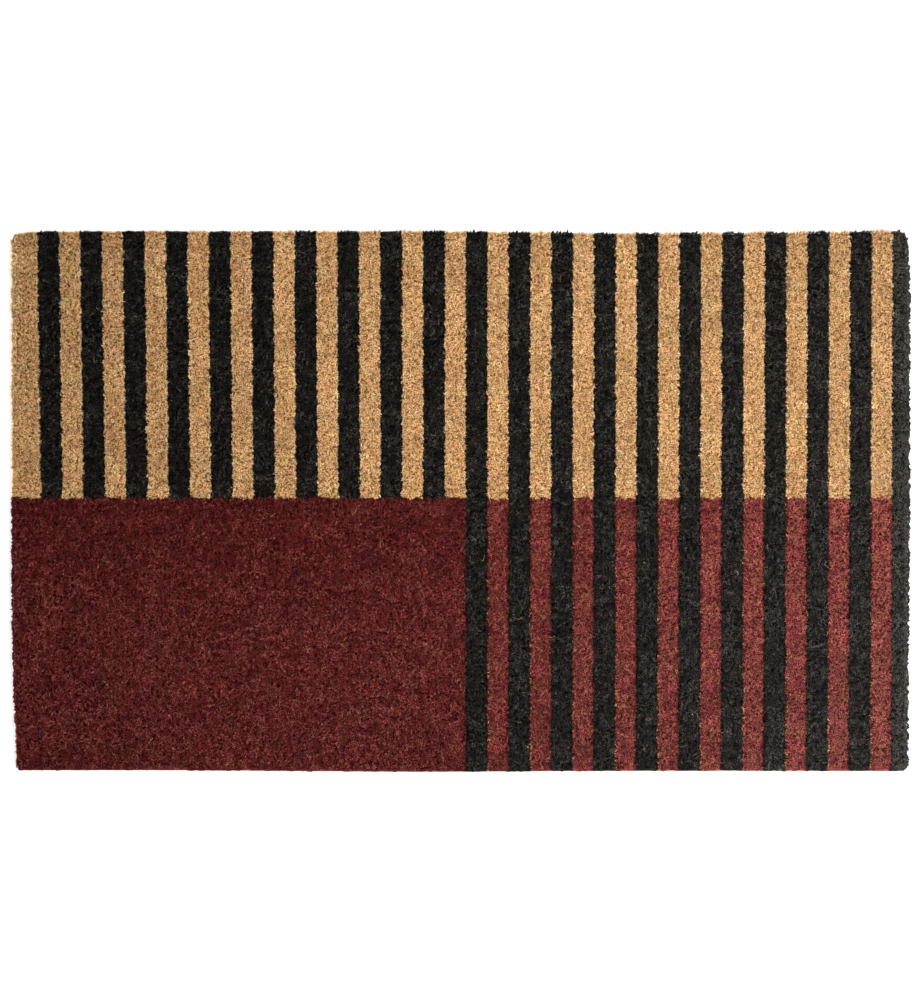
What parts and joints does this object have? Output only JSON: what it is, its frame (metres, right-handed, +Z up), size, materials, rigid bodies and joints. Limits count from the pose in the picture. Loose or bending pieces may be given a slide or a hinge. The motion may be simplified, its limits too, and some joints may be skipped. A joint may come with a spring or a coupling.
{
  "type": "door mat",
  "caption": "Rectangular coir door mat on a flat vinyl backing, with light and black stripes, brick stripes and a plain burgundy block. It lies flat and cleans shoe soles.",
  "frame": {"origin": "middle of the mat's underside, on the floor", "axes": "+X along the mat's length to the right, +Y across it to the rear edge, with the burgundy block at front left, +Z up out of the pile"},
  "size_m": [0.75, 0.45, 0.016],
  "materials": {
    "backing_vinyl": "soft matt vinyl sheet with a fine pebbled underside",
    "coir_natural": "undyed cut coir pile, coarse and matt, fibre to fibre from straw to brown",
    "coir_black": "black dyed cut coir pile, coarse and matt, slightly brown at the tips",
    "coir_burgundy": "burgundy dyed cut coir pile, coarse and matt",
    "coir_brick": "brick red dyed cut coir pile, coarse and matt, with undyed tips at the edges"
  },
  "bodies": {
    "root": {"backing_sheet": "backing_vinyl", "natural_stripe_01": "coir_natural", "natural_stripe_02": "coir_natural", "natural_stripe_03": "coir_natural", "natural_stripe_04": "coir_natural", "natural_stripe_05": "coir_natural", "natural_stripe_06": "coir_natural", "natural_stripe_07": "coir_natural", "natural_stripe_08": "coir_natural", "natural_stripe_09": "coir_natural", "natural_stripe_10": "coir_natural", "natural_stripe_11": "coir_natural", "natural_stripe_12": "coir_natural", "natural_stripe_13": "coir_natural", "natural_stripe_14": "coir_natural", "natural_stripe_15": "coir_natural", "natural_stripe_16": "coir_natural", "natural_stripe_17": "coir_natural", "natural_stripe_18": "coir_natural", "natural_stripe_19": "coir_natural", "natural_stripe_20": "coir_natural", "natural_stripe_21": "coir_natural", "short_black_stripe_01": "coir_black", "short_black_stripe_02": "coir_black", "short_black_stripe_03": "coir_black", "short_black_stripe_04": "coir_black", "short_black_stripe_05": "coir_black", "short_black_stripe_06": "coir_black", "short_black_stripe_07": "coir_black", "short_black_stripe_08": "coir_black", "short_black_stripe_09": "coir_black", "short_black_stripe_10": "coir_black", "long_black_stripe_01": "coir_black", "long_black_stripe_02": "coir_black", "long_black_stripe_03": "coir_black", "long_black_stripe_04": "coir_black", "long_black_stripe_05": "coir_black", "long_black_stripe_06": "coir_black", "long_black_stripe_07": "coir_black", "long_black_stripe_08": "coir_black", "long_black_stripe_09": "coir_black", "long_black_stripe_10": "coir_black", "long_black_stripe_11": "coir_black", "brick_stripe_01": "coir_brick", "brick_stripe_02": "coir_brick", "brick_stripe_03": "coir_brick", "brick_stripe_04": "coir_brick", "brick_stripe_05": "coir_brick", "brick_stripe_06": "coir_brick", "brick_stripe_07": "coir_brick", "brick_stripe_08": "coir_brick", "brick_stripe_09": "coir_brick", "brick_stripe_10": "coir_brick", "burgundy_block": "coir_burgundy"}
  },
  "joints": []
}
